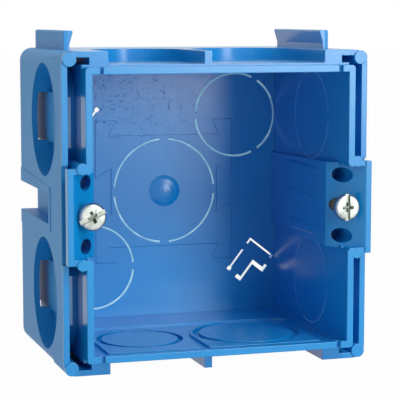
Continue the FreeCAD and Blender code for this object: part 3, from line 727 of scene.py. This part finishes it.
@dataclass
class KnockoutMembranes:
    """Thin lines of the knockout rings in the back wall and both side walls."""

    back_y: float = 48.12
    back_width: float = 0.42
    side_sink: float = -0.03
    side_width: float = 0.34
    thick: float = 0.30
    crown: tuple[Span, ...] = ((-1.0, 0.05), (-0.5, 0.012), (0.0, 0.0), (0.5, 0.012), (1.0, 0.05))
    step: float = 3.0
    fewest_steps: int = 4
    centre_radius: float = 13.0
    corner: Span = (18.65, 18.8)
    corner_radius: float = 10.45
    back_bridge: float = 5.0
    side_middle: Span = (22.9, 20.1)
    side_radius: float = 10.5
    side_bridge: float = 6.0
    mouth_half: float = 30.0
    mouth_y: float = 1.6
    cavity_depth: float = 46.4
    cavity_taper: float = 0.6

    def arcs(self) -> list[RingArc]:
        """List the stretches of all rings.

        Returns:
            One entry for each stretch between two bridges.
        """
        found = []
        for quarter in (0, 90, 180, 270):
            found.append(RingArc(Wall.BACK, 0.0, 0.0, self.centre_radius, quarter + self.back_bridge,
                                 quarter + 90 - self.back_bridge))
        across, up = self.corner
        for sign, turn in ((1, 0), (-1, 180)):
            for third in (60, 180, 300):
                first = third + turn + self.back_bridge
                last = third + turn + 120 - self.back_bridge
                found.append(RingArc(Wall.BACK, sign * across, sign * up, self.corner_radius, first, last))
        across, up = self.side_middle
        for wall in (Wall.LEFT, Wall.RIGHT):
            for sign in (1, -1):
                for third in (60, 180, 300):
                    first = third + self.side_bridge
                    last = third + 120 - self.side_bridge
                    found.append(RingArc(wall, across, sign * up, self.side_radius, first, last))
        return found

    def side_face(self, y: float) -> float:
        """Half width of the tapering cavity at a depth."""
        return self.mouth_half - (y - self.mouth_y) / self.cavity_depth * self.cavity_taper

    def spot(self, arc: RingArc, angle: float, radius: float, sink: float) -> Vector:
        """Place one corner of a strip.

        Args:
            arc: The stretch it belongs to.
            angle: Angle round the ring, in degrees.
            radius: Distance from the ring's middle.
            sink: Depth below the strip's crown.

        Returns:
            The point in the row frame.
        """
        turn = math.radians(angle)
        across = arc.across + radius * math.cos(turn)
        up = arc.up + radius * math.sin(turn)
        if arc.wall is Wall.BACK:
            return row(across, self.back_y + sink, up)
        reach = self.side_face(across) + self.side_sink + sink
        return row(reach if arc.wall is Wall.RIGHT else -reach, across, up)

    def strip(self, work: bmesh.types.BMesh, arc: RingArc) -> None:
        """Add one closed strip with a crowned section.

        Args:
            work: Geometry that takes the strip.
            arc: The stretch that it follows.
        """
        half = (self.back_width if arc.wall is Wall.BACK else self.side_width) / 2
        section = [(half * share, sink) for share, sink in self.crown]
        section = [(-half, self.thick)] + section + [(half, self.thick)]
        count = max(self.fewest_steps, int((arc.last - arc.first) / self.step))
        rings = []
        for k in range(count + 1):
            angle = arc.first + (arc.last - arc.first) * k / count
            rings.append([work.verts.new(self.spot(arc, angle, arc.radius + r, s)) for r, s in section])
        for near, far in zip(rings, rings[1:]):
            for k in range(len(section)):
                j = (k + 1) % len(section)
                work.faces.new((near[k], near[j], far[j], far[k]))
        work.faces.new(rings[0][::-1])
        work.faces.new(rings[-1])

    def build(self, name: str, walls: tuple[Wall, ...], finish: bpy.types.Material) -> bpy.types.Object:
        """Build the strips of some walls as one mesh.

        Args:
            name: Name of the piece.
            walls: Walls whose strips belong to it.
            finish: The pale plastic.

        Returns:
            The new piece.
        """
        work = bmesh.new()
        for arc in self.arcs():
            if arc.wall in walls:
                self.strip(work, arc)
        return new_piece(name, to_mesh(work, name), finish)


@dataclass
class FixingScrews:
    """The two device screws, with their turned heads, cross recesses and rolled threads."""

    pitch: float = 60.0
    length: float = 25.0
    sharp: float = 38.0
    turned_steps: int = 64
    rolled_steps: int = 40
    head_radius: float = 3.1
    head_flat: float = 2.4
    head_thick: float = 1.6
    face_share: float = 0.55
    rim_steps: int = 8
    rim_depth: float = 0.9
    under_edge: tuple[Span, ...] = ((0.0, 0.35), (0.1, 0.12), (0.3, 0.0))
    neck_width: float = 0.2
    neck_length: float = 0.3
    thread_radius: float = 1.6
    core_radius: float = 1.18
    thread_step: float = 1.05
    thread_root: float = 0.42
    thread_flank: float = 0.46
    rings_a_turn: int = 10
    shank_gap: float = 0.1
    run_in: Span = (0.5, 0.6)
    tip_length: float = 2.6
    tip_share: float = 0.62
    cut_above: float = 0.5
    slot_width: float = 1.15
    slot_depth: float = 0.75
    slot_foot: float = 0.94
    cross_reach: float = 1.6
    cross_width: float = 0.88
    cross_depth: float = 1.3
    cross_foot: float = 0.55
    mark_reach: float = 1.9
    mark_width: float = 0.16
    mark_depth: float = 0.16
    mark_foot: float = 1.0
    mark_slope: float = 0.7071
    turns: dict[str, float] = field(default_factory=lambda: {"left": 66.0, "right": 0.0})

    def lathe(self, profile: list[Span]) -> bpy.types.Mesh:
        """Turn a profile of radius and depth about the screw's axis.

        Args:
            profile: Radii and depths from the front; the first and last lie on the axis.

        Returns:
            A closed mesh in millimetres along +Y.
        """
        work = bmesh.new()
        first = work.verts.new((0.0, profile[0][1], 0.0))
        last = work.verts.new((0.0, profile[-1][1], 0.0))
        rings = []
        turns = [2 * math.pi * k / self.turned_steps for k in range(self.turned_steps)]
        for radius, depth in profile[1:-1]:
            ring = [(radius * math.cos(turn), depth, radius * math.sin(turn)) for turn in turns]
            rings.append([work.verts.new(point) for point in ring])
        for k in range(self.turned_steps):
            j = (k + 1) % self.turned_steps
            work.faces.new((first, rings[0][k], rings[0][j]))
            work.faces.new((last, rings[-1][j], rings[-1][k]))
            for near, far in zip(rings, rings[1:]):
                work.faces.new((near[k], far[k], far[j], near[j]))
        return to_mesh(work, "turned")

    def head(self) -> bpy.types.Mesh:
        """Turn the head, with its rounded rim and the washer face behind.

        Returns:
            The head without its recess, in millimetres.
        """
        outer, flat, thick = self.head_radius, self.head_flat, self.head_thick
        profile = [(0.0, 0.0), (flat * self.face_share, 0.0)]
        for k in range(self.rim_steps + 1):
            turn = math.pi / 2 * k / self.rim_steps
            radius = flat + (outer - flat) * math.sin(turn)
            profile.append((radius, self.rim_depth * (1.0 - math.cos(turn))))
        profile += [(outer - inset, thick - above) for inset, above in self.under_edge]
        end = thick + self.neck_length
        profile += [(self.core_radius + self.neck_width, thick), (self.core_radius, end), (0.0, end)]
        return self.lathe(profile)

    def cutter(self, outline: list[Span], depth: float, foot: float) -> bpy.types.Mesh:
        """Make a tapering prism that cuts a recess.

        Args:
            outline: Corners across the head, in millimetres.
            depth: Depth of the recess.
            foot: Size of the outline at the bottom of the recess, against 1 at the top.

        Returns:
            The closed prism in millimetres.
        """
        work = bmesh.new()
        top = [work.verts.new((x, -self.cut_above, z)) for x, z in outline]
        low = [work.verts.new((x * foot, depth, z * foot)) for x, z in outline]
        work.faces.new(top)
        work.faces.new(low[::-1])
        for k in range(len(outline)):
            j = (k + 1) % len(outline)
            work.faces.new((top[k], low[k], low[j], top[j]))
        return to_mesh(work, "recess")

    def recesses(self) -> list[bpy.types.Mesh]:
        """Make the prisms of the slot, the cross and the scribed marks.

        Returns:
            The prisms, in the order of cutting.
        """
        half, arm, wide = self.slot_width / 2, self.cross_reach, self.cross_width / 2
        long = self.head_radius + self.cut_above
        slot = [(-half, -long), (half, -long), (half, long), (-half, long)]
        quarter = [(wide, -arm), (wide, -wide), (arm, -wide)]
        cross = quarter + [(-z, x) for x, z in quarter] + [(-x, -z) for x, z in quarter]
        cross += [(z, -x) for x, z in quarter]
        tools = [self.cutter(slot, self.slot_depth, self.slot_foot)]
        tools.append(self.cutter(cross, self.cross_depth, self.cross_foot))
        mark, thin, slope = self.mark_reach, self.mark_width / 2, self.mark_slope
        ends = [(-mark, -thin), (mark, -thin), (mark, thin), (-mark, thin)]
        for lean in (1, -1):
            outline = [((x - lean * z) * slope, (lean * x + z) * slope) for x, z in ends]
            tools.append(self.cutter(outline, self.mark_depth, self.mark_foot))
        return tools

    def recessed(self, mesh: bpy.types.Mesh) -> bpy.types.Mesh:
        """Cut the slot, the cross and the scribed marks out of a head.

        Args:
            mesh: The turned head.

        Returns:
            The cut head.
        """
        body = put_in_scene("head", mesh)
        tools = []
        for prism in self.recesses():
            tool = put_in_scene("tool", prism)
            tools.append(tool)
            cut = body.modifiers.new("cut", "BOOLEAN")
            cut.operation = "DIFFERENCE"
            cut.solver = "EXACT"
            cut.object = tool
        bpy.context.view_layer.update()
        done = bpy.data.meshes.new_from_object(body.evaluated_get(bpy.context.evaluated_depsgraph_get()))
        for item in [body] + tools:
            bpy.data.objects.remove(item)
        return done

    def thread_height(self, phase: float) -> float:
        """Share of the thread's height at a place within one turn."""
        rise = min(phase, 1.0 - phase) * 2.0
        return max(0.0, min(1.0, (rise - self.thread_root) / self.thread_flank))

    def shank(self) -> bpy.types.Mesh:
        """Roll the thread on the shank, down to its blunt tip.

        Returns:
            A closed mesh in millimetres.
        """
        work = bmesh.new()
        steps, least = self.rolled_steps, self.tip_share
        begin, end = self.head_thick + self.shank_gap, self.length
        count = int((end - begin) / (self.thread_step / self.rings_a_turn))
        rings = []
        for k in range(count + 1):
            depth = begin + (end - begin) * k / count
            taper = min(1.0, max(least, (end - depth) / self.tip_length * (1.0 - least) + least))
            fade = min(1.0, max(0.0, (depth - begin - self.run_in[0]) / self.run_in[1]))
            ring = []
            for j in range(steps):
                phase = ((depth - begin) / self.thread_step - j / steps) % 1.0
                height = (self.thread_radius - self.core_radius) * self.thread_height(phase) * fade
                radius = (self.core_radius + height) * taper
                turn = 2 * math.pi * j / steps
                ring.append(work.verts.new((radius * math.cos(turn), depth, radius * math.sin(turn))))
            rings.append(ring)
        for near, far in zip(rings, rings[1:]):
            for j in range(steps):
                i = (j + 1) % steps
                work.faces.new((near[j], far[j], far[i], near[i]))
        work.faces.new(rings[0])
        work.faces.new(rings[-1][::-1])
        return to_mesh(work, "shank")

    def build(self, finish: bpy.types.Material) -> list[bpy.types.Object]:
        """Build both screws in their bosses.

        Args:
            finish: The zinc.

        Returns:
            The left and the right screw.
        """
        pieces = []
        for side, sign in (("left", -1), ("right", 1)):
            name = side + "_fixing_screw"
            work = bmesh.new()
            work.from_mesh(self.recessed(self.head()))
            work.from_mesh(self.shank())
            place = Matrix.Translation(row(sign * self.pitch / 2, 0.0, 0.0))
            turn = Matrix.Rotation(math.radians(self.turns[side]), 4, "Y")
            work.transform(place @ turn @ Matrix.Scale(MM, 4))
            mesh = to_mesh(work, name, outward=False)
            smooth(mesh, self.sharp)
            piece = new_piece(name, mesh, finish)
            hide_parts("fixing_screws")
            pieces.append(piece)
        return pieces


@dataclass(frozen=True)
class SoftLamp:
    """A square lamp: its place and edge in metres, and its power in watts."""

    name: str
    place: Point
    edge: float
    power: float


@dataclass
class Studio:
    """White paper, soft lamps and the camera."""

    camera_place: Point = (-0.11172, -0.36249, 0.07963)
    yaw: float = 17.45
    pitch: float = -6.55
    lens: float = 144.10
    sensor: float = 36.0
    nearest: float = 0.01
    aim: Point = (0.0, 0.0, 0.036)
    sky: float = 0.36
    floor_half: float = 3.0
    floor_cells: int = 8
    lamps: tuple[SoftLamp, ...] = (
        SoftLamp("key_lamp", (0.45, -1.02, 0.20), 0.38, 4.5),
        SoftLamp("top_lamp", (0.25, -0.75, 0.85), 0.38, 4.6),
    )

    def floor(self) -> bpy.types.Object:
        """Lay the paper floor under the box.

        Returns:
            The floor.
        """
        work = bmesh.new()
        cells = self.floor_cells
        bmesh.ops.create_grid(work, x_segments=cells, y_segments=cells, size=self.floor_half)
        mesh = to_mesh(work, "paper_floor", outward=False)
        mesh.materials.append(PaperFloor().build())
        floor = put_in_scene("paper_floor", mesh)
        return floor

    def world(self) -> None:
        """White surroundings for the camera and reflections, plain soft light for the rest."""
        world = bpy.data.worlds.new("white_room")
        bpy.context.scene.world = world
        world.use_nodes = True
        bench = NodeBench(world.node_tree)
        back = bench.put(bench.add("ShaderNodeBackground"), Color=WHITE)
        bench.link(bench.span(bench.seen(), self.sky, 1.0), back.inputs["Strength"])
        bench.link(back.outputs[0], bench.add("ShaderNodeOutputWorld").inputs["Surface"])

    def lights(self) -> None:
        """Hang the soft lamps, each turned to the box."""
        for lamp in self.lamps:
            light = bpy.data.lights.new(lamp.name, "AREA")
            light.shape = "SQUARE"
            light.size = lamp.edge
            light.energy = lamp.power
            holder = put_in_scene(lamp.name, light)
            holder.location = lamp.place
            ahead = Vector(self.aim) - Vector(lamp.place)
            holder.rotation_euler = ahead.to_track_quat("-Z", "Y").to_euler()

    def camera(self) -> bpy.types.Object:
        """Set up the camera at the photograph's viewing angle.

        Returns:
            The scene's camera.
        """
        lens = bpy.data.cameras.new("camera")
        lens.sensor_fit = "HORIZONTAL"
        lens.sensor_width = self.sensor
        lens.lens = self.lens
        lens.clip_start = self.nearest
        holder = put_in_scene("camera", lens)
        holder.location = self.camera_place
        turn, tilt = math.radians(self.yaw), math.radians(self.pitch)
        ahead = Vector((math.sin(turn) * math.cos(tilt), math.cos(turn) * math.cos(tilt), math.sin(tilt)))
        holder.rotation_euler = ahead.to_track_quat("-Z", "Y").to_euler()
        bpy.context.scene.camera = holder
        return holder

    def build(self) -> None:
        """Set up everything round the box."""
        bpy.context.scene.view_settings.view_transform = "Standard"
        self.floor()
        self.world()
        self.lights()
        self.camera()


def main() -> None:
    """Dress the box, its membranes and its screws, and set up the studio."""
    logging.basicConfig(level=logging.INFO, format="%(name)s: %(message)s")
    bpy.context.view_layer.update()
    pieces = [Housing().dress(MouldedPlastic().build())]
    rings = KnockoutMembranes()
    pale = ThinMembrane()
    # The side rings get fainter painted light and a weaker painted glow.
    faint = ThinMembrane(name="faint_membrane", thick=(0.03, 0.32, 0.66, 1.0), thin=(0.16, 0.50, 0.80, 1.0),
                         painted_glow=0.04)
    pieces.append(rings.build("back_membranes", (Wall.BACK,), pale.build()))
    pieces.append(rings.build("side_membranes", (Wall.LEFT, Wall.RIGHT), faint.build()))
    pieces += FixingScrews().build(ZincPlate().build())
    for piece in pieces:
        LOG.info("%s, %d faces", piece.name, len(piece.data.polygons))
    Studio().build()


if __name__ == "__main__":
    main()
